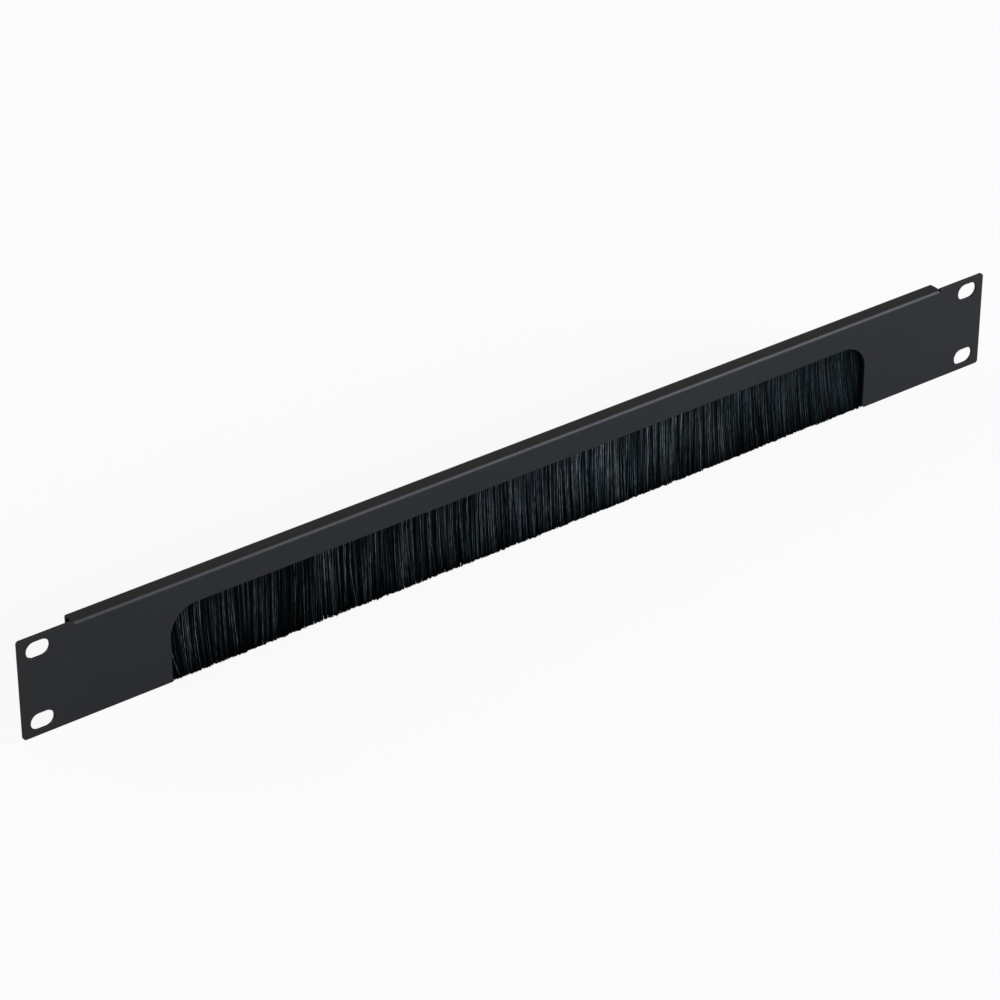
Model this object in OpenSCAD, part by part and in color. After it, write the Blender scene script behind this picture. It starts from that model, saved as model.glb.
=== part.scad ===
// Rack brush strip panel, 19 inch wide, one rack unit high.
// One folded steel sheet has a notch, open at the bottom, that cables run through. A strip brush
// closes the notch: its channel sits in the pocket that is folded along the top of the sheet, and
// screws through the pocket's rear lip hold it.
// X runs across the rack, Y runs back into it and Z is up. The origin is the middle of the four
// mounting slots, on the rear face of the ears, where they bear on the rack's rails.

/* [Panel] */
// Width across both ears
panel_w = 482.6; // [440:0.1:520]
// Height of the ears
panel_h = 43.66; // [40:0.01:60]
// Thickness of the sheet
sheet_t = 1.2; // [0.8:0.1:2]
// Radius of the ears' outer corners
ear_corner_r = 1.2; // [0.5:0.1:4]

/* [Mounting slots] */
// From each side edge to the middle of a slot
slot_edge_x = 8.75; // [8:0.05:12]
// From the top or bottom edge to the middle of a slot
slot_edge_z = 5.955; // [5.5:0.005:12]
// Length of a slot, end to end
slot_l = 10.5; // [8:0.1:13]
// Height of a slot
slot_h = 7.3; // [5:0.1:7.8]

/* [Cable notch] */
// Width of the full-height cheek beyond each side of the notch
cheek_w = 66.3; // [56:0.1:120]
// Height of the band that is left above the notch
band_h = 11.85; // [11:0.05:20]
// Radius of the notch's upper corners
notch_r = 12; // [3:0.5:18]
// Radius where the notch's sides meet the bottom edge
notch_foot_r = 1; // [0.5:0.1:4]

/* [Folded pocket] */
// Width of the flat ear beyond each end of the fold
ear_w = 24.9; // [20:0.05:40]
// How far the top of the fold lies below the top of the ears
fold_drop = 0.1; // [0:0.05:1.5]
// Inside radius of both bends
bend_r = 0.8; // [0.3:0.1:1.2]
// Height of the rear lip, from the top of the fold to its lower edge
lip_h = 9.8; // [8.5:0.1:14]
// Width of the slit that frees each end of the fold from the ear
relief_w = 0.15; // [0.1:0.05:2]

/* [Strip brush channel] */
// Outer width of the channel
channel_w = 4.7; // [3.4:0.1:8]
// Outer height of the channel
channel_h = 7.4; // [6.4:0.1:9]
// Wall thickness of the channel
channel_wall = 0.5; // [0.3:0.05:0.6]
// Inside radius of the channel's bends
channel_bend_r = 0.4; // [0.1:0.05:0.8]
// Clearance between the channel and the pocket, all round
channel_gap = 0.1; // [0.05:0.05:0.5]
// How far the strip runs on behind each side of the notch
strip_lap = 10; // [6:0.5:20]

/* [Filaments] */
// Diameter of the wire that the filaments are folded over
wire_d = 1.2; // [0.8:0.1:1.6]
// Clearance between the filaments and what they touch
fill_gap = 0.05; // [0.02:0.01:0.1]
// How far the tips hang below the panel's bottom edge, on average
tip_overhang = 1.35; // [0:0.05:6]
// How far single tufts are longer or shorter than that
tip_rag = 0.4; // [0:0.05:1]
// Width of one tuft
tuft_w = 1; // [0.8:0.1:6]
// How far a tuft's ridge may lie behind the face of the curtain
ridge_play = 0.25; // [0.05:0.05:0.4]
// Least depth of the groove between two tufts
groove_min = 0.45; // [0.4:0.05:0.6]
// Greatest depth of the groove between two tufts
groove_max = 1.1; // [0.7:0.05:1.2]
// How far a ridge or a groove may stray sideways, as a share of a tuft's width
tuft_shift = 0.2; // [0:0.02:0.24]
// Greatest height of the notch between two tips
notch_max = 1.2; // [0.5:0.1:5]

/* [Screws] */
// Number of screws along the lip
screw_count = 6; // [2:1:12]
// From each end of the strip to the nearest screw
screw_inset = 10; // [5:0.5:30]
// From the mouth of the channel up to the screws
screw_rise = 2.3; // [2:0.1:3]
// Thread diameter of a screw
screw_d = 3; // [2:0.1:3.2]
// Length of a screw under its head
screw_l = 4; // [3.6:0.1:4.6]
// Length of the cone at a screw's tip
screw_tip_l = 0.8; // [0.4:0.1:1.2]
// Diameter of a screw's head
head_d = 5.6; // [4.5:0.1:6.5]
// Height of a screw's head
head_h = 2; // [1.6:0.1:3]
// Radius of the edge of a screw's head
head_edge_r = 0.9; // [0.2:0.1:1.4]
// Length of each arm of the cross recess, tip to tip
recess_l = 3; // [2:0.1:3.6]
// Width of the arms of the cross recess
recess_w = 0.7; // [0.4:0.05:1]
// Depth of the cross recess
recess_depth = 1.3; // [0.5:0.1:1.5]
// Clearance round a screw in the lip
hole_gap = 0.2; // [0.05:0.05:0.5]
// Clearance round a screw's thread where it has cut its way in
thread_gap = 0.05; // [0.02:0.01:0.1]

/* [Washers] */
// Outer diameter of a washer
washer_d = 6; // [5:0.1:7]
// Thickness of a washer
washer_t = 0.5; // [0.3:0.1:0.8]
// Clearance round a screw in its washer
washer_gap = 0.1; // [0.05:0.05:0.4]

/* [Hidden] */
$fn = 64;

// How far a cutting shape runs past the face that it cuts
past = 1;
// How far up inside the channel the tufts begin to part
tuft_start = 0.4;
// How far the cut tips stray to the left of their ridges, as a share of a tuft's width
tip_lead = 0.05;
// First of the seeds that scatter the tufts
tuft_seed = 11;

// Heights, from the middle of the slots
top_z = panel_h / 2;
bottom_z = -panel_h / 2;
fold_z = top_z - fold_drop;
notch_z = top_z - band_h;
notch_w = panel_w - 2 * cheek_w;

// The pocket: its gap, its bends and its length
pocket_w = channel_w + 2 * channel_gap;
pocket_y = pocket_w / 2;
bend_outer_r = bend_r + sheet_t;
bend_z = fold_z - bend_outer_r;
fold_l = panel_w - 2 * ear_w;

// The strip brush's channel, from its back at the top to its mouth
strip_l = notch_w + 2 * strip_lap;
channel_z = fold_z - sheet_t - channel_gap;
mouth_z = channel_z - channel_h;

// The filaments' root in the channel, round at the top where it folds over the wire
root_w = channel_w - 2 * (channel_wall + fill_gap);
wire_z = channel_z - channel_wall - fill_gap - root_w / 2;
tip_z = bottom_z - tip_overhang;
tuft_count = floor(strip_l / tuft_w);
tuft_pitch = strip_l / tuft_count;

// The screws' places along the strip, and where their heads bear
screw_pitch = (strip_l - 2 * screw_inset) / (screw_count - 1);
screw_z = mouth_z + screw_rise;
washer_y = pocket_w + sheet_t;
head_y = washer_y + washer_t;

function screw_x(i) = (i - 1 - (screw_count - 1) / 2) * screw_pitch;

// An outline with two round upper corners: it hangs down from the origin by h, centred on X
module arch(w, h, r) {
    translate([-w / 2, -h]) square([w, h - r]);
    translate([-w / 2 + r, -h]) square([w - 2 * r, h]);
    for (side = [-1, 1]) translate([side * (w / 2 - r), -r]) circle(r = r);
}

// A rectangle about the origin with four round corners
module rounded_plate(w, h, r) {
    square([w - 2 * r, h], center = true);
    square([w, h - 2 * r], center = true);
    for (x = [-1, 1], y = [-1, 1]) translate([x * (w / 2 - r), y * (h / 2 - r)]) circle(r = r);
}

// An outline in X and Z becomes a plate from y0 back to y1
module plate(y0, y1) {
    translate([0, y1, 0]) rotate([90, 0, 0]) linear_extrude(y1 - y0) children();
}

// An outline in Y and Z becomes a bar of length l, centred on the panel
module bar(l) {
    rotate([90, 0, 90]) linear_extrude(l, center = true) children();
}

// A straight round hole or pin along Y, from y0 back to y1, at the place of screw i
module at_screw(i, y0, y1, d) {
    translate([screw_x(i), y0, screw_z]) rotate([-90, 0, 0]) cylinder(h = y1 - y0, d = d);
}

// The flat of the sheet, less the strip that is folded back and the slits at its two ends
module flat_outline() {
    difference() {
        rounded_plate(panel_w, panel_h, ear_corner_r);
        translate([-fold_l / 2 - relief_w, bend_z]) square([fold_l + 2 * relief_w, panel_h]);
    }
}

// Both bends and the lip: an arch over the pocket, one sheet thick
module fold_outline() {
    difference() {
        arch(pocket_w + 2 * sheet_t, lip_h, bend_outer_r);
        translate([0, -sheet_t]) arch(pocket_w, lip_h, bend_r);
    }
}

// The notch, open at the bottom, with its sides rounded into the bottom edge
module notch_outline() {
    translate([0, notch_z]) arch(notch_w, notch_z - bottom_z + past, notch_r);
    for (side = [0, 1]) mirror([side, 0]) translate([notch_w / 2, bottom_z]) difference() {
        translate([-past, -past]) square(notch_foot_r + past);
        translate([notch_foot_r, notch_foot_r]) circle(r = notch_foot_r);
    }
}

module slot_outline() {
    square([slot_l - slot_h, slot_h], center = true);
    for (side = [-1, 1]) translate([side * (slot_l - slot_h) / 2, 0]) circle(d = slot_h);
}

module front_panel() {
    slot_x = panel_w / 2 - slot_edge_x;
    slot_z = panel_h / 2 - slot_edge_z;
    color("#2f3133") difference() {
        union() {
            plate(-sheet_t, 0) flat_outline();
            bar(fold_l) translate([pocket_y, fold_z]) fold_outline();
        }
        plate(-sheet_t - past, pocket_y) notch_outline();
        for (x = [-1, 1], z = [-1, 1]) plate(-sheet_t - past, past)
            translate([x * slot_x, z * slot_z]) slot_outline();
        for (i = [1 : screw_count])
            at_screw(i, pocket_y, washer_y + past, screw_d + 2 * hole_gap);
    }
}

// The channel's section: a U on its head, bent from strip
module channel_outline() {
    difference() {
        arch(channel_w, channel_h, channel_bend_r + channel_wall);
        translate([0, -channel_wall]) arch(channel_w - 2 * channel_wall, channel_h, channel_bend_r);
    }
}

module brush_channel() {
    color("#b9bcbc") difference() {
        bar(strip_l) translate([pocket_y, channel_z]) channel_outline();
        for (i = [1 : screw_count])
            at_screw(i, pocket_y, pocket_w + past, screw_d + 2 * thread_gap);
    }
}

module core_wire() {
    color("#8f9294") translate([0, pocket_y, wire_z]) rotate([0, 90, 0])
        cylinder(h = strip_l, d = wire_d, center = true);
}

// The filaments where they fold over the wire, down to the channel's mouth
module root() {
    difference() {
        bar(strip_l) translate([pocket_y, wire_z]) difference() {
            union() {
                circle(d = root_w);
                translate([-root_w / 2, mouth_z - wire_z]) square([root_w, wire_z - mouth_z]);
            }
            circle(d = wire_d + 2 * fill_gap);
        }
        for (i = [1 : screw_count])
            at_screw(i, head_y - screw_l - thread_gap, pocket_w, screw_d + 2 * thread_gap);
    }
}

// One face of the curtain in X and Y, from left to right: a ridge for each tuft and a groove of its
// own depth between it and the next. side is -1 at the front and 1 at the back.
function tuft_row(side, seed) =
    let (
        ridge = rands(0, ridge_play, tuft_count, seed),
        groove = rands(groove_min, groove_max, tuft_count, seed + 1),
        shift = rands(-tuft_shift, tuft_shift, 2 * tuft_count, seed + 2),
        y = pocket_y + side * root_w / 2
    )
    [for (i = [0 : tuft_count - 1]) let (x = -strip_l / 2 + i * tuft_pitch) each [
        [x + (0.5 + shift[2 * i]) * tuft_pitch, y - side * ridge[i]],
        if (i < tuft_count - 1) [x + (1 + shift[2 * i + 1]) * tuft_pitch, y - side * groove[i]]
    ]];

// The curtain seen from above: both faces, joined at its two ends
module curtain_plan() {
    front = tuft_row(-1, tuft_seed);
    back = tuft_row(1, tuft_seed + 3);
    end_x = strip_l / 2;
    end_y = root_w / 2 - ridge_play;
    polygon(concat(
        [[-end_x, pocket_y - end_y]],
        front,
        [[end_x, pocket_y - end_y], [end_x, pocket_y + end_y]],
        [for (i = [len(back) - 1 : -1 : 0]) back[i]],
        [[-end_x, pocket_y + end_y]]
    ));
}

// The curtain seen from the front: each tuft is cut off at its own height, with a notch beside it
module curtain_elevation() {
    rag = rands(-tip_rag, tip_rag, tuft_count, tuft_seed + 6);
    notch = rands(tip_rag, tip_rag + notch_max, tuft_count, tuft_seed + 7);
    foot = [for (i = [0 : tuft_count - 1]) let (x = -strip_l / 2 + i * tuft_pitch) each [
        [x + (0.5 - tip_lead) * tuft_pitch, tip_z + rag[i]],
        [x + (1 - tip_lead) * tuft_pitch, tip_z + notch[i]]
    ]];
    polygon(concat(
        [[-strip_l / 2 - past, mouth_z + tuft_start], [-strip_l / 2 - past, tip_z]],
        foot,
        [[strip_l / 2 + past, tip_z], [strip_l / 2 + past, mouth_z + tuft_start]]
    ));
}

// The free filaments below the channel's mouth
module curtain() {
    reach = mouth_z + tuft_start - tip_z + tip_rag;
    intersection() {
        translate([0, 0, tip_z - tip_rag - past]) linear_extrude(reach + 2 * past) curtain_plan();
        plate(-past, pocket_w + past) curtain_elevation();
    }
}

module bristles() {
    color("#101315") {
        root();
        curtain();
    }
}

// A pan head screw with a cross recess. Its axis is Z, its head bears at zero and the tip is below.
module screw() {
    tip_d = screw_d / 2;
    color("#c4c6c6") difference() {
        rotate_extrude() {
            square([head_d / 2, head_h - head_edge_r]);
            square([head_d / 2 - head_edge_r, head_h]);
            translate([head_d / 2 - head_edge_r, head_h - head_edge_r]) intersection() {
                circle(r = head_edge_r);
                square(head_edge_r);
            }
            polygon([
                [0, -screw_l],
                [tip_d / 2, -screw_l],
                [screw_d / 2, screw_tip_l - screw_l],
                [screw_d / 2, 0],
                [0, 0]
            ]);
        }
        for (turn = [0, 90]) rotate([0, 0, turn])
            translate([-recess_l / 2, -recess_w / 2, head_h - recess_depth])
            cube([recess_l, recess_w, recess_depth + past]);
    }
}

module screw_at(i) {
    translate([screw_x(i), head_y, screw_z]) rotate([-90, 0, 0]) screw();
}

module washer(i) {
    color("#c4c6c6") difference() {
        at_screw(i, washer_y, head_y, washer_d);
        at_screw(i, washer_y - past, head_y + past, screw_d + 2 * washer_gap);
    }
}

front_panel();
brush_channel();
core_wire();
bristles();
for (i = [1 : screw_count]) screw_at(i);
for (i = [1 : screw_count]) washer(i);
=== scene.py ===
from math import pi, radians

import bpy
import numpy as np
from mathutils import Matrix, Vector


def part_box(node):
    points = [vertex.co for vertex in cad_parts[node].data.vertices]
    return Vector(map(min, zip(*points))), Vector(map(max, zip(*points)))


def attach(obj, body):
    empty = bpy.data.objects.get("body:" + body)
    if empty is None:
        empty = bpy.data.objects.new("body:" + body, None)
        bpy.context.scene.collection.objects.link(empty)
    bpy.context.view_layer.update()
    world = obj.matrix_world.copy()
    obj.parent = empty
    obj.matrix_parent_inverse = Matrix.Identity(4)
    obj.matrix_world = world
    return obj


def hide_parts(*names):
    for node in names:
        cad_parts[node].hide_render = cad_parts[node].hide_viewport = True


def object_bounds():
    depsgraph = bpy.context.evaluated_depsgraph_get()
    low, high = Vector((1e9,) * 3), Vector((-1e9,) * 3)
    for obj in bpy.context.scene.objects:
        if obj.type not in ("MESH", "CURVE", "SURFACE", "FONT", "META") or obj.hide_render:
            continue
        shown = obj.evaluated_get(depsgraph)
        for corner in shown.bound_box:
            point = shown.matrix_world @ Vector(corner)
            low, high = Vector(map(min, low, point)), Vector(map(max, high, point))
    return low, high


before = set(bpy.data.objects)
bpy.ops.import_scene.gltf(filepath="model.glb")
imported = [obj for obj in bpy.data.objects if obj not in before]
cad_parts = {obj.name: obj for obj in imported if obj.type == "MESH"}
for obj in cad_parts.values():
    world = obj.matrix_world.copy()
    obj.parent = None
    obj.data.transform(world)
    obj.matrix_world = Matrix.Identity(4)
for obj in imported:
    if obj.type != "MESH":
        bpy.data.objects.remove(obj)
cad_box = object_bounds()
bpy.ops.object.select_all(action="DESELECT")


# ---------------------------------------------------------------------------------------------
# Front panel: one blank of 1.2 mm cold-rolled steel, with the slots and the notch punched out
# and the upper strip folded back and down into a pocket. It is powder-coated after the folding.
# ---------------------------------------------------------------------------------------------

mm = 0.001


def linear(hex_colour):
    """An sRGB hex colour as the linear colour that a shader takes."""
    parts = [int(hex_colour[i:i + 2], 16) / 255 for i in (1, 3, 5)]
    return [c / 12.92 if c <= 0.04045 else ((c + 0.055) / 1.055) ** 2.4 for c in parts] + [1]


def add_node(tree, kind, inputs=None, **settings):
    """Adds a node with its settings. An input is a value, or the output of another node."""
    new = tree.nodes.new(kind)
    for name, value in settings.items():
        setattr(new, name, value)
    for name, value in (inputs or {}).items():
        if isinstance(value, bpy.types.NodeSocket):
            tree.links.new(value, new.inputs[name])
        else:
            new.inputs[name].default_value = value
    return new


def start_material(name):
    """An empty material, its tree and the object's own coordinates."""
    material = bpy.data.materials.new(name)
    material.use_nodes = True
    tree = material.node_tree
    tree.nodes.clear()
    place = add_node(tree, "ShaderNodeTexCoord").outputs["Object"]
    return material, tree, place


def finish_material(tree, shader):
    add_node(tree, "ShaderNodeOutputMaterial", {"Surface": shader.outputs[0]})


def coat_node(name, material):
    """Gives a CAD node its finish."""
    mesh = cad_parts[name].data
    mesh.materials.clear()
    mesh.materials.append(material)


# Black powder coat, electrostatically sprayed and stoved: a satin skin that flows out to a faint
# orange peel and pulls back a little from the punched edges. It gives a dark, even grey with a
# soft, wide highlight along the bend.
coat_dark = "#151617"
coat_light = "#191a1b"
peel_size = 1.4 * mm
grain_size = 0.35 * mm
edge_radius = 0.25 * mm

powder_coat, tree, place = start_material("satin_black_powder_coat")
peel = add_node(tree, "ShaderNodeTexNoise", {
    "Vector": place, "Scale": 1 / peel_size, "Detail": 2, "Roughness": 0.5})
grain = add_node(tree, "ShaderNodeTexNoise", {
    "Vector": place, "Scale": 1 / grain_size, "Detail": 1, "Roughness": 0.5})
cloud = add_node(tree, "ShaderNodeTexNoise", {
    "Vector": place, "Scale": 1 / (60 * mm), "Detail": 3, "Roughness": 0.6})
tint = add_node(tree, "ShaderNodeValToRGB", {"Fac": cloud.outputs["Fac"]})
tint.color_ramp.elements[0].position = 0.3
tint.color_ramp.elements[0].color = linear(coat_dark)
tint.color_ramp.elements[1].position = 0.7
tint.color_ramp.elements[1].color = linear(coat_light)
gloss = add_node(tree, "ShaderNodeMapRange", {
    "Value": grain.outputs["Fac"], "From Min": 0.3, "From Max": 0.7,
    "To Min": 0.47, "To Max": 0.55})
edge = add_node(tree, "ShaderNodeBevel", {"Radius": edge_radius}, samples=6)
peel_bump = add_node(tree, "ShaderNodeBump", {
    "Height": peel.outputs["Fac"], "Normal": edge.outputs["Normal"],
    "Strength": 1, "Distance": 0.02 * mm})
grain_bump = add_node(tree, "ShaderNodeBump", {
    "Height": grain.outputs["Fac"], "Normal": peel_bump.outputs["Normal"],
    "Strength": 1, "Distance": 0.006 * mm})
finish_material(tree, add_node(tree, "ShaderNodeBsdfPrincipled", {
    "Base Color": tint.outputs["Color"], "Roughness": gloss.outputs["Result"],
    "Specular IOR Level": 0.35, "Normal": grain_bump.outputs["Normal"]}))
coat_node("front_panel", powder_coat)


# ---------------------------------------------------------------------------------------------
# Brush channel: a strip of 0.5 mm hot-dip galvanised steel, rolled into a U on its head. It grips
# the folded filaments and the core wire, and slides into the panel's pocket from one end.
# ---------------------------------------------------------------------------------------------

# Galvanised steel: the zinc has set in flat crystals, or spangles, a few millimetres across. Each
# one reflects at a brightness of its own, in a dull blue-grey.
zinc_dark = "#8d9294"
zinc_light = "#b4b9bb"
spangle_size = 5 * mm

galvanised, tree, place = start_material("spangled_galvanised_steel")
spangle = add_node(tree, "ShaderNodeTexVoronoi", {"Vector": place, "Scale": 1 / spangle_size})
frost = add_node(tree, "ShaderNodeTexNoise", {
    "Vector": place, "Scale": 1 / (0.6 * mm), "Detail": 3, "Roughness": 0.6})
crystal = add_node(tree, "ShaderNodeSeparateColor", {"Color": spangle.outputs["Color"]})
mottle = add_node(tree, "ShaderNodeMath", {
    0: crystal.outputs["Red"], 1: frost.outputs["Fac"]}, operation="MULTIPLY")
tint = add_node(tree, "ShaderNodeValToRGB", {"Fac": mottle.outputs[0]})
tint.color_ramp.elements[0].color = linear(zinc_dark)
tint.color_ramp.elements[1].position = 0.6
tint.color_ramp.elements[1].color = linear(zinc_light)
gloss = add_node(tree, "ShaderNodeMapRange", {
    "Value": crystal.outputs["Green"], "To Min": 0.34, "To Max": 0.52})
frost_bump = add_node(tree, "ShaderNodeBump", {
    "Height": frost.outputs["Fac"], "Strength": 1, "Distance": 0.008 * mm})
finish_material(tree, add_node(tree, "ShaderNodeBsdfPrincipled", {
    "Base Color": tint.outputs["Color"], "Metallic": 1, "Roughness": gloss.outputs["Result"],
    "Normal": frost_bump.outputs["Normal"]}))
coat_node("brush_channel", galvanised)


# ---------------------------------------------------------------------------------------------
# Core wire: 1.2 mm plain steel wire, drawn through a die and cropped flush with the channel. The
# filaments are folded over it, so that they can't be pulled out of the channel.
# ---------------------------------------------------------------------------------------------

# Drawn steel: the die leaves fine straight lines along the wire, under a thin film of grey oxide.
wire_dark = "#6e7072"
wire_light = "#8f9193"
die_line = 0.12 * mm

drawn_steel, tree, place = start_material("drawn_steel_wire")
along = add_node(tree, "ShaderNodeMapping", {"Vector": place, "Scale": (0.02, 1, 1)})
lines = add_node(tree, "ShaderNodeTexNoise", {
    "Vector": along.outputs["Vector"], "Scale": 1 / die_line, "Detail": 2, "Roughness": 0.6})
tint = add_node(tree, "ShaderNodeValToRGB", {"Fac": lines.outputs["Fac"]})
tint.color_ramp.elements[0].position = 0.3
tint.color_ramp.elements[0].color = linear(wire_dark)
tint.color_ramp.elements[1].position = 0.7
tint.color_ramp.elements[1].color = linear(wire_light)
gloss = add_node(tree, "ShaderNodeMapRange", {
    "Value": lines.outputs["Fac"], "To Min": 0.25, "To Max": 0.45})
line_bump = add_node(tree, "ShaderNodeBump", {
    "Height": lines.outputs["Fac"], "Strength": 1, "Distance": 0.005 * mm})
finish_material(tree, add_node(tree, "ShaderNodeBsdfPrincipled", {
    "Base Color": tint.outputs["Color"], "Metallic": 1, "Roughness": gloss.outputs["Result"],
    "Normal": line_bump.outputs["Normal"]}))
coat_node("core_wire", drawn_steel)


# ---------------------------------------------------------------------------------------------
# Filaments: lengths of black nylon monofilament, each folded over the core wire so that both of
# its legs hang down. The channel pinches them at its mouth, and their tips are shorn in one cut.
# ---------------------------------------------------------------------------------------------

# The curtain's make-up. A filament's mesh is a square tube of side_share times its radius from
# middle to side, which is as thick on average as the round one, and pitch_play moves each filament
# by up to that share of the pitch.
filament_r = 0.125 * mm
side_share = 0.78
filament_pitch = 0.27 * mm
pitch_play = 0.3
layer_count = 4
touch_gap = 0.02 * mm
pieces = 5

channel_low, channel_high = (Vector(corner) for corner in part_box("brush_channel"))
wire_low, wire_high = (Vector(corner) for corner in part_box("core_wire"))
curtain_low, curtain_high = (Vector(corner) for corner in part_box("bristles"))
strip_l = channel_high.x - channel_low.x
wire_y = (wire_low.y + wire_high.y) / 2
wire_z = (wire_low.z + wire_high.z) / 2
mouth_z = channel_low.z
fold_rs = np.linspace((wire_high.z - wire_low.z) / 2 + filament_r + touch_gap,
                      (curtain_high.y - curtain_low.y) / 2 - filament_r, layer_count)

# Where the shear has passed: the tips' mean height, how far they lie above it at places along X,
# how ragged its cut is from one bundle to the next, and how far the single tips differ
tip_z = curtain_low.z + 0.43 * mm
tip_at_x = np.array([-185, -130, -102, -73, 100, 130, 185]) * mm
tip_by_x = np.array([-0.03, 0.05, 0.4, 0.05, -0.03, 0.35, 0.15]) * mm
cut_step = 1.1 * mm
cut_rag = 0.31 * mm
tip_scatter = 0.08 * mm

# How the curtain hangs: degrees that it leans to the right at places along X, and how tangled it is
# there. Neighbours cling together in clumps, and a few strays cross over them.
lean_at_x = np.array([-185, -175, -160, -140, -120, -95, -60, 0, 50, 85, 100, 140, 160, 185]) * mm
lean_by_x = [5, 5, 3, 0.5, -2, 2, 3, 2.5, 2, 2, 5, 5.5, 8, 9]
mess_at_x = np.array([-185, -100, 40, 120, 160, 185]) * mm
mess_by_x = [1.3, 1.1, 1.0, 0.7, 0.4, 0.4]
clump_least = 0.6 * mm
clump_most = 1.8 * mm
clump_lean = 0.6
clump_bow = 0.15 * mm
clump_back = 0.4 * mm
pull_least = 0.1
pull_most = 0.5
calm = 0.2
stray_lean = 1
stray_bow = 0.3 * mm
neat_back = 0.2 * mm

# How bright the filaments' painted glint is at places along X: how bright the brightest strays are
# painted, brightest a little right of the middle and dimmer to either side as painted light, fading to
# none at the right end as a painted shadow of the notch's edge, and how rare they are among the dark
# filaments, then how far a painted glint reaches along a leg, the lowest place of its middle, and how
# much of its hue a filament shares with its clump
shine_at_x = np.array([-185, -140, -100, -60, -20, 20, 45, 80, 120, 150, 162, 176]) * mm
shine_by_x = [0.7, 0.62, 0.6, 0.6, 0.68, 0.95, 0.88, 0.73, 0.5, 0.34, 0.26, 0]
rarity_by_x = [6, 5, 3.6, 3.4, 2.6, 1.9, 1.9, 2.3, 2.4, 0.8, 0.35, 0.3]
glint_reach = 0.4
glint_lowest = 0.9
hue_shared = 0.35

# Points of a leg from the channel's mouth to its tip, the bend of a strip that is held at the mouth,
# and the painted shine at each point, a painted shade that darkens it towards the tip
leg_u = np.array([0, 0.25, 0.5, 0.75, 0.95, 1])
leg_bend = leg_u ** 2 * (3 - leg_u) / 2
leg_shine = np.array([0.95, 1, 0.95, 0.8, 0.35, 0])
fold_turns = np.radians([0, 45, 90, 135, 180])
random = np.random.default_rng(21)
cut_x = np.arange(channel_low.x, channel_high.x, cut_step)
cut_z = random.uniform(-cut_rag, cut_rag, len(cut_x))


def comb(x, side, fold_r):
    """The legs of one layer on one side of the strip, from their places at the mouth.

    The outer layers move freely. The inner ones stay straight, so no light passes the curtain, and get
    a weaker painted glint, as painted shade.
    """
    count = len(x)
    widths = random.uniform(clump_least, clump_most, int(strip_l / clump_least))
    edges = channel_low.x + np.cumsum(widths)
    clump = np.searchsorted(edges, x)
    clump_x = edges[clump] - widths[clump] / 2
    outer = (fold_r / fold_rs[-1]) ** 2
    stray = random.uniform(0, 1, count) ** np.interp(x, shine_at_x, rarity_by_x)
    mess = outer * np.interp(x, mess_at_x, mess_by_x)
    lean = np.radians(np.interp(x, lean_at_x, lean_by_x)
                      + mess * random.normal(0, clump_lean, len(edges))[clump]
                      + mess * (calm + stray) * random.normal(0, stray_lean, count))
    pull = outer * random.uniform(pull_least, pull_most, count)
    bow = mess * (random.normal(0, clump_bow, len(edges))[clump]
                  + (calm + stray) * random.normal(0, stray_bow, count))
    set_back = outer * (random.uniform(0, clump_back, len(edges))[clump]
                        + (1 - stray) * random.uniform(0, neat_back, count))
    end_z = (tip_z + np.interp(x, tip_at_x, tip_by_x)
             + np.interp(x, cut_x, cut_z) + random.uniform(-tip_scatter, tip_scatter, count))
    free = mouth_z - end_z

    points = np.empty((count, len(leg_u), 3))
    points[:, :, 0] = (x[:, None] + np.outer(free * np.tan(lean), leg_bend)
                       + np.outer((clump_x - x) * pull, leg_u)
                       + np.outer(bow, np.sin(pi * leg_u)))
    points[:, :, 1] = wire_y + side * (fold_r - np.outer(set_back, leg_u))
    points[:, :, 2] = mouth_z - np.outer(free, leg_u)
    # The painted glint: brightness painted into the base colour of the rarer strays, weaker on the
    # inner layers as painted shade, peaking at one place along each leg as a painted highlight
    shine = outer * np.interp(x, shine_at_x, shine_by_x) * stray
    middle = random.uniform(0, glint_lowest, (count, 1))
    shine = shine[:, None] * leg_shine * np.exp(-((leg_u - middle) / glint_reach) ** 2)
    hue = (hue_shared * random.uniform(0, 1, len(edges))[clump]
           + (1 - hue_shared) * random.uniform(0, 1, count))
    return points, shine, hue


# Each filament's spine and, point by point, its painted glint and its hue
spines = []
shines = []
hues = []
for fold_r in fold_rs:
    count = int(strip_l / filament_pitch)
    x = np.linspace(channel_low.x, channel_high.x, count + 2)[1:-1]
    x += random.uniform(-pitch_play, pitch_play, count) * filament_pitch
    x = np.clip(x, channel_low.x + filament_r, channel_high.x - filament_r)
    front, front_shine, front_hue = comb(x, -1, fold_r)
    back, back_shine, back_hue = comb(x, 1, fold_r)
    fold = np.empty((count, len(fold_turns), 3))
    fold[:, :, 0] = x[:, None]
    fold[:, :, 1] = wire_y - fold_r * np.cos(fold_turns)
    fold[:, :, 2] = wire_z + fold_r * np.sin(fold_turns)
    spines.append(np.concatenate([front[:, ::-1], fold, back], axis=1))
    shines.append(np.concatenate([front_shine[:, ::-1], np.zeros(fold.shape[:2]), back_shine], axis=1))
    hues.append(np.linspace(front_hue, back_hue, spines[-1].shape[1], axis=1))
spines = np.concatenate(spines)
shines = np.concatenate(shines)
hues = np.concatenate(hues)


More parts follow.
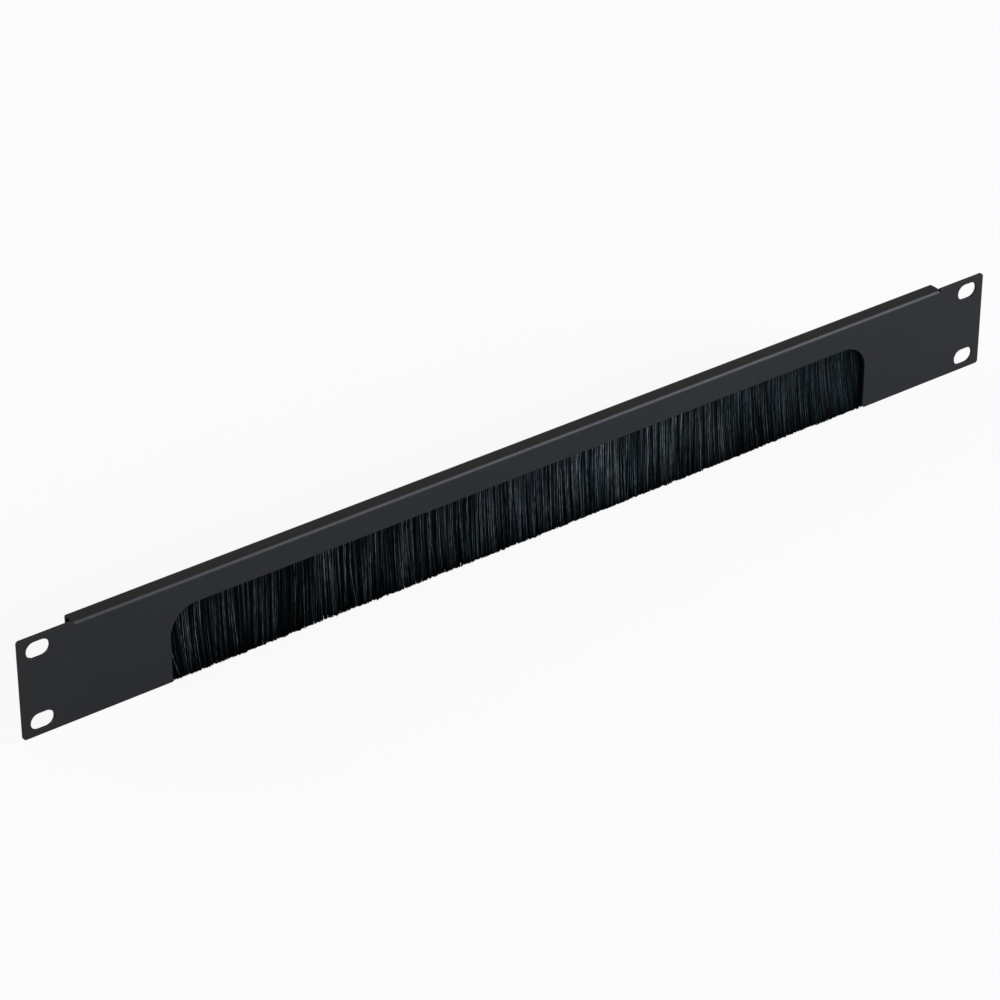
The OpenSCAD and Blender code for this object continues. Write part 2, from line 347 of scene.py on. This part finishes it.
def add_filaments(name, spines, **values):
    """One mesh of square tubes along the spines, shaded round, with flat ends."""
    count, steps = spines.shape[:2]
    way = np.gradient(spines, axis=1)
    way /= np.linalg.norm(way, axis=2, keepdims=True)
    across = np.array([1.0, 0, 0]) - way * way[:, :, :1]
    across /= np.linalg.norm(across, axis=2, keepdims=True)
    out = np.cross(way, across)
    corners = np.stack([across + out, out - across, -across - out, across - out], axis=2)
    corners *= filament_r * side_share
    points = (spines[:, :, None] + corners).reshape(-1, 3)

    ring = np.arange(count * steps).reshape(count, steps)[:, :-1, None] * 4
    side = np.arange(4)
    turn = (side + 1) % 4
    walls = np.stack([ring + side, ring + turn, ring + 4 + turn, ring + 4 + side], axis=-1)
    first = np.arange(count)[:, None] * steps * 4
    caps = np.concatenate([first + side[::-1], first + (steps - 1) * 4 + side])
    faces = np.concatenate([walls.reshape(-1, 4), caps])

    mesh = bpy.data.meshes.new(name)
    mesh.from_pydata(points.tolist(), [], faces.tolist())
    smooth = np.ones(len(faces), dtype=bool)
    smooth[-len(caps):] = False
    mesh.polygons.foreach_set("use_smooth", smooth)
    for attribute_name, numbers in values.items():
        attribute = mesh.attributes.new(attribute_name, "FLOAT", "POINT")
        attribute.data.foreach_set("value", np.repeat(numbers.reshape(-1), 4))
    piece = bpy.data.objects.new(name, mesh)
    bpy.context.collection.objects.link(piece)
    return piece


# Nylon monofilament, extruded, drawn and dyed black in the mass. It is smooth and a little
# translucent. Each filament's narrow cold glint is a painted highlight in its base colour, in one of
# the hues below, and the gaps between them go black.
nylon_black = "#010101"
painted_glint_hues = ["#8a969e", "#4c7a74", "#687690", "#949ca0", "#5a7c7e", "#9a9a98"]
lump_size = 0.5 * mm

# The painted glint is broken into lengths of about 4 mm by a noise stretched along the filaments,
# standing in for the crimp that the reel leaves in the nylon, and the brightest painted glints lose
# their tint
streak_size = 0.25 * mm
streak_share = 0.06

nylon, tree, place = start_material("black_nylon_monofilament")
hue = add_node(tree, "ShaderNodeAttribute", attribute_name="hue")
shine = add_node(tree, "ShaderNodeAttribute", attribute_name="shine")
glint = add_node(tree, "ShaderNodeValToRGB", {"Fac": hue.outputs["Fac"]})
ramp = glint.color_ramp.elements
while len(ramp) < len(painted_glint_hues):
    ramp.new(0.5)
for i, colour in enumerate(painted_glint_hues):
    ramp[i].position = 0.15 + 0.7 * i / (len(painted_glint_hues) - 1)
    ramp[i].color = linear(colour)
along = add_node(tree, "ShaderNodeMapping", {"Vector": place, "Scale": (1, 1, streak_share)})
streaks = add_node(tree, "ShaderNodeTexNoise", {
    "Vector": along.outputs["Vector"], "Scale": 1 / streak_size, "Detail": 1})
streak = add_node(tree, "ShaderNodeMapRange", {
    "Value": streaks.outputs["Fac"], "From Min": 0.35, "From Max": 0.65,
    "To Min": 0.3, "To Max": 1.2})
# How bright the painted glint is at each point: it mixes the base colour from black towards the
# glint's hue
seen = add_node(tree, "ShaderNodeMath", {
    0: shine.outputs["Fac"], 1: streak.outputs["Result"]}, operation="MULTIPLY")
paler = add_node(tree, "ShaderNodeMapRange", {
    "Value": seen.outputs[0], "From Max": 0.5, "To Min": 1.3, "To Max": 0.4})
glint = add_node(tree, "ShaderNodeHueSaturation", {
    "Color": glint.outputs["Color"], "Saturation": paler.outputs["Result"]})
tint = add_node(tree, "ShaderNodeMix", {
    "Factor": seen.outputs[0], "A": linear(nylon_black), "B": glint.outputs["Color"]},
    data_type="RGBA")
lumps = add_node(tree, "ShaderNodeTexNoise", {
    "Vector": place, "Scale": 1 / lump_size, "Detail": 1, "Roughness": 0.5})
gloss = add_node(tree, "ShaderNodeMapRange", {
    "Value": lumps.outputs["Fac"], "From Min": 0.3, "From Max": 0.7,
    "To Min": 0.28, "To Max": 0.42})
lump_bump = add_node(tree, "ShaderNodeBump", {
    "Height": lumps.outputs["Fac"], "Strength": 1, "Distance": 0.01 * mm})
finish_material(tree, add_node(tree, "ShaderNodeBsdfPrincipled", {
    "Base Color": tint.outputs["Result"], "Roughness": gloss.outputs["Result"],
    "Specular IOR Level": 0.03, "Normal": lump_bump.outputs["Normal"]}))

piece_of = np.floor((spines[:, len(leg_u), 0] - channel_low.x) / strip_l * pieces).astype(int)
for i in range(pieces):
    mine = piece_of == i
    filaments = add_filaments(
        f"filaments_{i + 1}", spines[mine], shine=shines[mine], hue=hues[mine])
    filaments.data.materials.append(nylon)
    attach(filaments, "root")
    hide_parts("bristles")


# ---------------------------------------------------------------------------------------------
# Washers and screws: six M3 pan head screws with a cross recess, each on a plain washer. They pass
# through the lip and cut their own thread in the channel's rear wall, so that it can't slide out.
# ---------------------------------------------------------------------------------------------

# Bright zinc plate: a thin, even, slightly blue film over pressed steel, with a faint satin grain
# from the tumbling barrel and a soft shine on every edge.
plate_dark = "#a9adb0"
plate_light = "#c6cacc"

zinc_plate, tree, place = start_material("bright_zinc_plate")
tumble = add_node(tree, "ShaderNodeTexNoise", {
    "Vector": place, "Scale": 1 / (0.4 * mm), "Detail": 4, "Roughness": 0.6})
tint = add_node(tree, "ShaderNodeValToRGB", {"Fac": tumble.outputs["Fac"]})
tint.color_ramp.elements[0].position = 0.3
tint.color_ramp.elements[0].color = linear(plate_dark)
tint.color_ramp.elements[1].position = 0.7
tint.color_ramp.elements[1].color = linear(plate_light)
gloss = add_node(tree, "ShaderNodeMapRange", {
    "Value": tumble.outputs["Fac"], "To Min": 0.2, "To Max": 0.4})
edge = add_node(tree, "ShaderNodeBevel", {"Radius": 0.08 * mm}, samples=4)
tumble_bump = add_node(tree, "ShaderNodeBump", {
    "Height": tumble.outputs["Fac"], "Normal": edge.outputs["Normal"],
    "Strength": 1, "Distance": 0.006 * mm})
finish_material(tree, add_node(tree, "ShaderNodeBsdfPrincipled", {
    "Base Color": tint.outputs["Color"], "Metallic": 1, "Roughness": gloss.outputs["Result"],
    "Normal": tumble_bump.outputs["Normal"]}))
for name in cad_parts:
    if name.startswith(("washer", "screw")):
        coat_node(name, zinc_plate)


# ---------------------------------------------------------------------------------------------
# The studio: a white paper floor, a large soft lamp to the right in front of the panel, weak ones
# at its left, above and behind, and pale air all round.
# ---------------------------------------------------------------------------------------------

floor_z = cad_box[0][2]
floor_l = 12
bpy.ops.mesh.primitive_plane_add(size=floor_l, location=(0, 0, floor_z))
floor = bpy.context.object
floor.name = "floor"

# White paper, lit from behind by most of its brightness so that it stays white and still keeps a
# soft shadow. The panel and the zinc reflect it as a pale grey.
paper_white = "#fcfcfc"
paper_grey = "#d0d0d0"
paper_glow = 0.9

paper, tree, place = start_material("white_paper_floor")
rays = add_node(tree, "ShaderNodeLightPath")
seen = rays.outputs["Is Camera Ray"]
share = add_node(tree, "ShaderNodeMath", {0: seen, 1: paper_glow}, operation="MULTIPLY")
tint = add_node(tree, "ShaderNodeMix", {
    "Factor": seen, "A": linear(paper_grey), "B": linear(paper_white)}, data_type="RGBA")
lit = add_node(tree, "ShaderNodeBsdfDiffuse", {"Color": tint.outputs["Result"]})
white = add_node(tree, "ShaderNodeEmission", {"Color": linear("#ffffff"), "Strength": 1})
finish_material(tree, add_node(tree, "ShaderNodeMixShader", {
    0: share.outputs[0], 1: lit.outputs[0], 2: white.outputs[0]}))
floor.data.materials.append(paper)

world = bpy.data.worlds.new("soft_studio")
bpy.context.scene.world = world
world.use_nodes = True
air = world.node_tree.nodes["Background"]
air.inputs["Color"].default_value = linear("#ffffff")
air.inputs["Strength"].default_value = 0.27


def add_lamp(name, place, aim, size, power, colour):
    bpy.ops.object.light_add(type="AREA", location=place)
    lamp = bpy.context.object
    lamp.name = name
    lamp.rotation_euler = (Vector(aim) - Vector(place)).to_track_quat("-Z", "Y").to_euler()
    lamp.data.shape = "RECTANGLE"
    lamp.data.size, lamp.data.size_y = size
    lamp.data.energy = power
    lamp.data.color = linear(colour)[:3]
    lamp.visible_camera = False


add_lamp("key", (2.4, -2.85, 1.37), (0, 0, 0), (1.2, 1.2), 165, "#ecf2ff")
add_lamp("fill", (-1.6, -1.8, 0.5), (-0.1, 0, 0), (1.0, 1.0), 8, "#f4f8ff")
add_lamp("top", (0.9, 0.9, 1.4), (0, 0, 0), (1.2, 1.2), 1.8, "#ffcc90")
add_lamp("back", (-1.6, 2.4, 1.0), (0, 0, 0), (1.4, 1.4), 24, "#fff4e8")

bpy.ops.object.camera_add(
    location=(-0.84721, -1.10079, 0.83402), rotation=(radians(90 - 31.13), 0, radians(-37)))
camera = bpy.context.object
camera.data.lens = 145.176
camera.data.sensor_width = 36
bpy.context.scene.camera = camera
bpy.context.scene.view_settings.view_transform = "Standard"
